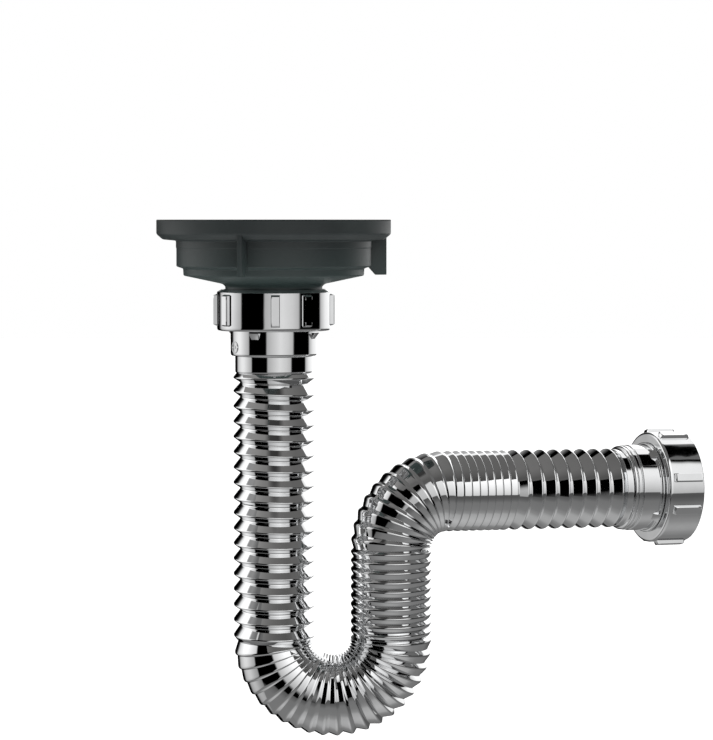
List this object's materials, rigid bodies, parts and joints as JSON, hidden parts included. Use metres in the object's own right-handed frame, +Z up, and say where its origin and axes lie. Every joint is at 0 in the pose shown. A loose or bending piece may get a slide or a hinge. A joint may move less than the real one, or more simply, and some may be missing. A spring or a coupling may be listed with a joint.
{
  "type": "flexible sink p-trap",
  "caption": "Chromed corrugated P-trap with coupling nuts at both ends, hanging from a plastic sink-waste body; it bends, stretches and swivels.",
  "frame": {"origin": "centre of the waste body's top face, where it meets the underside of the sink", "axes": "+Z up along the drop leg's axis; +X from the drop leg towards the riser; the object hangs in -Z"},
  "size_m": [0.2686, 0.1375, 0.2502],
  "materials": {
    "waste_plastic": "dark grey moulded plastic, soft satin",
    "black_rubber": "matt black rubber",
    "brass": "turned brass",
    "chrome_plate": "mirror-bright chrome plating on moulded plastic"
  },
  "bodies": {
    "waste": {"waste_body": "waste_plastic", "waste_gasket": "black_rubber", "waste_insert": "brass"},
    "inlet_seal": {"inlet_washer": "black_rubber"},
    "inlet_nut": {"inlet_nut": "chrome_plate"},
    "inlet": {"inlet_collar": "chrome_plate", "hose_drop_top": "chrome_plate"},
    "drop": {"hose_drop_flex": "chrome_plate"},
    "ubend": {"hose_drop_slide": "chrome_plate", "hose_drop_foot": "chrome_plate", "hose_ubend": "chrome_plate"},
    "riser": {"hose_riser_flex": "chrome_plate"},
    "riser_top": {"hose_riser_slide": "chrome_plate"},
    "elbow": {"hose_elbow": "chrome_plate"},
    "arm_root": {"hose_arm_tilt": "chrome_plate"},
    "arm_middle": {"hose_arm_sweep": "chrome_plate"},
    "outlet": {"hose_arm_slide": "chrome_plate", "outlet_collar": "chrome_plate", "outlet_washer": "black_rubber"},
    "outlet_nut": {"outlet_nut": "chrome_plate"}
  },
  "joints": [
    {"name": "trap_drop", "type": "slide", "parent": "waste", "child": "inlet_seal", "axis": [0, 0, 1], "range_m": [-0.0116, 0]},
    {"name": "inlet_nut_turn", "type": "hinge", "parent": "inlet_seal", "child": "inlet_nut", "pos_m": [0, 0, -0.044], "axis": [0, 0, 1], "range_deg": [-1800, 0]},
    {"name": "trap_swivel", "type": "hinge", "parent": "inlet_seal", "child": "inlet", "pos_m": [0, 0, -0.06], "axis": [0, 0, 1], "continuous": true},
    {"name": "drop_lean", "type": "hinge", "parent": "inlet", "child": "drop", "pos_m": [0, 0, -0.11894], "axis": [0, 1, 0], "range_deg": [-15, 15], "deforming": ["hose_drop_flex"]},
    {"name": "drop_stretch", "type": "slide", "parent": "drop", "child": "ubend", "axis": [0, 0, 1], "range_m": [0, 0.021], "deforming": ["hose_drop_slide"]},
    {"name": "riser_lean", "type": "hinge", "parent": "ubend", "child": "riser", "pos_m": [0.0567, 0, -0.19065], "axis": [0, 1, 0], "range_deg": [-10, 10], "deforming": ["hose_riser_flex"]},
    {"name": "riser_stretch", "type": "slide", "parent": "riser", "child": "riser_top", "axis": [0, 0, 1], "range_m": [0, 0.0145], "deforming": ["hose_riser_slide"]},
    {"name": "elbow_turn", "type": "hinge", "parent": "riser_top", "child": "elbow", "pos_m": [0.0567, 0, -0.1588], "axis": [0, 0, 1], "range_deg": [-100, 100]},
    {"name": "arm_tilt", "type": "hinge", "parent": "elbow", "child": "arm_root", "pos_m": [0.09723, 0.01516, -0.1324], "axis": [0.3502, -0.9367, 0], "range_deg": [-12, 12], "deforming": ["hose_arm_tilt"]},
    {"name": "arm_sweep", "type": "hinge", "parent": "arm_root", "child": "arm_middle", "pos_m": [0.12613, 0.02596, -0.13278], "axis": [0, 0, 1], "range_deg": [-15, 15], "deforming": ["hose_arm_sweep"]},
    {"name": "arm_stretch", "type": "slide", "parent": "arm_middle", "child": "outlet", "axis": [0.9366, 0.3502, -0.0122], "range_m": [-0.0105, 0], "deforming": ["hose_arm_slide"]},
    {"name": "outlet_nut_turn", "type": "hinge", "parent": "outlet", "child": "outlet_nut", "pos_m": [0.18476, 0.04788, -0.13354], "axis": [0.9366, 0.3502, -0.0122], "continuous": true}
  ],
  "couplings": [
    {"joint": "trap_drop", "follows": "inlet_nut_turn", "m_per_rad": 0.00036748}
  ]
}
